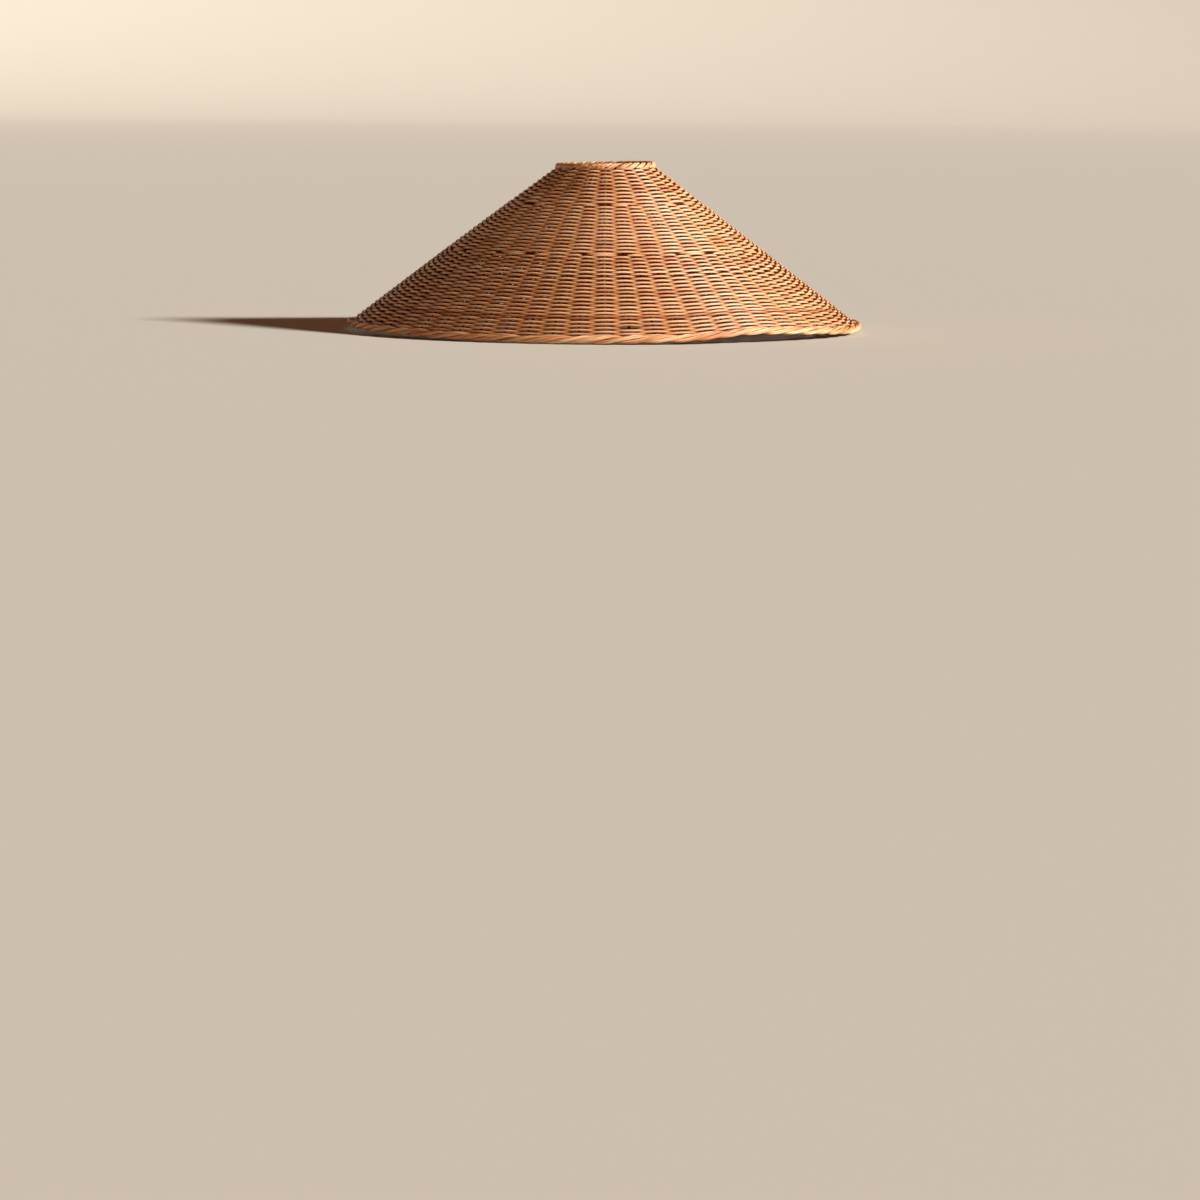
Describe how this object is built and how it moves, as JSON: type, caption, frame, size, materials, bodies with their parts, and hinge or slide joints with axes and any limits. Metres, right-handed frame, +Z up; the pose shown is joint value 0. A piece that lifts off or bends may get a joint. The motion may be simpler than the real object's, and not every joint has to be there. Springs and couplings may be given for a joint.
{
  "type": "lamp shade",
  "caption": "Wide shallow cone lamp shade of woven natural rattan on a wire cage, with rope-like rolled borders, a small open top and a dropped spider fitter with a loose reducer ring.",
  "frame": {"origin": "centre of the plane that the bottom border rests on", "axes": "+Z up along the cone's axis, towards the small opening; -Y towards the front, the side pictured"},
  "size_m": [0.7992, 0.7989, 0.2578],
  "materials": {
    "weaver": "round rattan core, oiled, satin",
    "stake": "round rattan core, oiled, satin",
    "border": "round rattan core, oiled, satin",
    "wire": "satin brown paint, the rattan's colour, on steel wire and plate",
    "plastic": "plain moulded, satin"
  },
  "bodies": {
    "shade": {"upper_weave": "weaver", "middle_weave": "weaver", "lower_weave": "weaver", "top_border": "border", "bottom_border": "border", "top_ring_wire": "wire", "bottom_ring_wire": "wire", "rib_wire_1": "wire", "rib_wire_2": "wire", "rib_wire_3": "wire", "rib_wire_4": "wire", "rib_wire_5": "wire", "rib_wire_6": "wire", "rib_wire_7": "wire", "spider_arm_1": "wire", "spider_arm_2": "wire", "spider_arm_3": "wire", "fitter_washer": "wire", "stake_01": "stake", "stake_02": "stake", "stake_03": "stake", "stake_04": "stake", "stake_05": "stake", "stake_06": "stake", "stake_07": "stake", "stake_08": "stake", "stake_09": "stake", "stake_10": "stake", "stake_11": "stake", "stake_12": "stake", "stake_13": "stake", "stake_14": "stake", "stake_15": "stake", "stake_16": "stake", "stake_17": "stake", "stake_18": "stake", "stake_19": "stake", "stake_20": "stake", "stake_21": "stake", "added_stake_01": "stake", "added_stake_02": "stake", "added_stake_03": "stake", "added_stake_04": "stake", "added_stake_05": "stake", "added_stake_06": "stake", "added_stake_07": "stake", "added_stake_08": "stake", "added_stake_09": "stake", "added_stake_10": "stake", "added_stake_11": "stake", "added_stake_12": "stake", "added_stake_13": "stake", "added_stake_14": "stake"},
    "reducer": {"reducer_ring": "plastic"}
  },
  "joints": [
    {"name": "reducer_lift", "type": "slide", "parent": "shade", "child": "reducer", "axis": [0, 0, 1], "range_m": [0, 0.14]}
  ]
}
